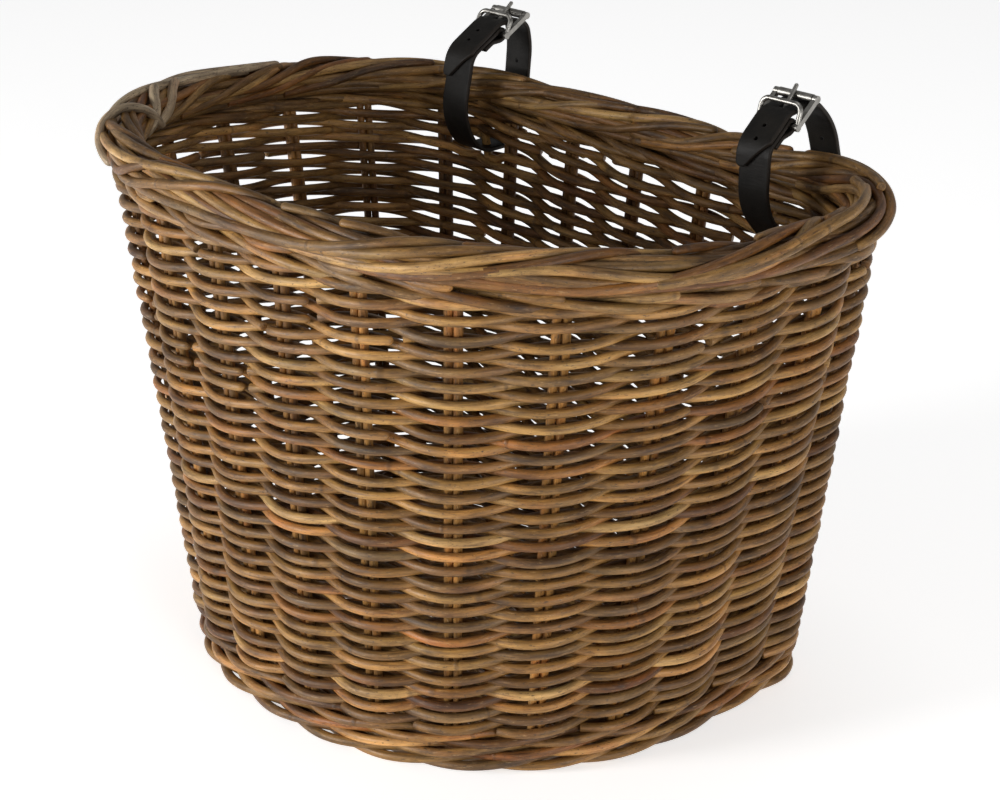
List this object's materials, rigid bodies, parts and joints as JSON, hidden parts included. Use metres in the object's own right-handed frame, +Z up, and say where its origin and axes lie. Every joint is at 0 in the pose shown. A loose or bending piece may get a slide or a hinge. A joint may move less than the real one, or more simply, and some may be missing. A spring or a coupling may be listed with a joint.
{
  "type": "bicycle handlebar basket",
  "caption": "Woven rattan D-shaped bicycle handlebar basket with a rolled rim and buckled leather straps that hang it from the bar.",
  "frame": {"origin": "under the middle of the whole part, on the surface that the foot stands on", "axes": "+Z up, +X along the flat back to the rider's right, +Y out of the flat back towards the handlebar"},
  "size_m": [0.402, 0.3004, 0.2995],
  "materials": {
    "weave_rattan": "satin brown rattan rod",
    "stake_rattan": "satin dark rattan rod",
    "border_rattan": "satin greyed rattan rod",
    "strap_leather": "matt black-brown leather",
    "buckle_metal": "polished nickel, slightly dull"
  },
  "bodies": {
    "basket": {"weave_lower_outside": "weave_rattan", "weave_lower_inside": "weave_rattan", "weave_upper_outside": "weave_rattan", "weave_upper_inside": "weave_rattan", "stake_pair_01": "stake_rattan", "stake_pair_02": "stake_rattan", "stake_pair_03": "stake_rattan", "stake_pair_04": "stake_rattan", "stake_pair_05": "stake_rattan", "stake_pair_06": "stake_rattan", "stake_pair_07": "stake_rattan", "stake_pair_08": "stake_rattan", "stake_pair_09": "stake_rattan", "stake_pair_10": "stake_rattan", "stake_pair_11": "stake_rattan", "stake_pair_12": "stake_rattan", "stake_pair_13": "stake_rattan", "stake_pair_14": "stake_rattan", "stake_pair_15": "stake_rattan", "stake_pair_16": "stake_rattan", "stake_pair_17": "stake_rattan", "stake_pair_18": "stake_rattan", "stake_pair_19": "stake_rattan", "stake_pair_20": "stake_rattan", "stake_pair_21": "stake_rattan", "stake_pair_22": "stake_rattan", "stake_pair_23": "stake_rattan", "rim_border": "border_rattan", "foot_border": "weave_rattan", "base_weave_under": "weave_rattan", "base_sticks": "stake_rattan", "base_weave_top": "weave_rattan"},
    "strap_left": {"strap_left": "strap_leather", "strap_rivet_left": "buckle_metal", "buckle_frame_left": "buckle_metal"},
    "roller_left": {"buckle_roller_left": "buckle_metal"},
    "prong_left": {"buckle_prong_left": "buckle_metal"},
    "strap_right": {"strap_right": "strap_leather", "strap_rivet_right": "buckle_metal", "buckle_frame_right": "buckle_metal"},
    "roller_right": {"buckle_roller_right": "buckle_metal"},
    "prong_right": {"buckle_prong_right": "buckle_metal"}
  },
  "joints": [
    {"name": "strap_left_swing", "type": "hinge", "parent": "basket", "child": "strap_left", "pos_m": [-0.111, 0.1288, 0.25214], "axis": [1, 0, 0], "range_deg": [-8, 10]},
    {"name": "prong_left_turn", "type": "hinge", "parent": "strap_left", "child": "prong_left", "pos_m": [-0.111, 0.1268, 0.28414], "axis": [1, 0, 0], "range_deg": [0, 9]},
    {"name": "roller_left_spin", "type": "hinge", "parent": "strap_left", "child": "roller_left", "pos_m": [-0.111, 0.14259, 0.29278], "axis": [1, 0, 0], "continuous": true},
    {"name": "strap_right_swing", "type": "hinge", "parent": "basket", "child": "strap_right", "pos_m": [0.111, 0.1288, 0.25214], "axis": [1, 0, 0], "range_deg": [-8, 10]},
    {"name": "prong_right_turn", "type": "hinge", "parent": "strap_right", "child": "prong_right", "pos_m": [0.111, 0.1026, 0.28234], "axis": [1, 0, 0], "range_deg": [0, 9]},
    {"name": "roller_right_spin", "type": "hinge", "parent": "strap_right", "child": "roller_right", "pos_m": [0.111, 0.11664, 0.29359], "axis": [1, 0, 0], "continuous": true}
  ]
}
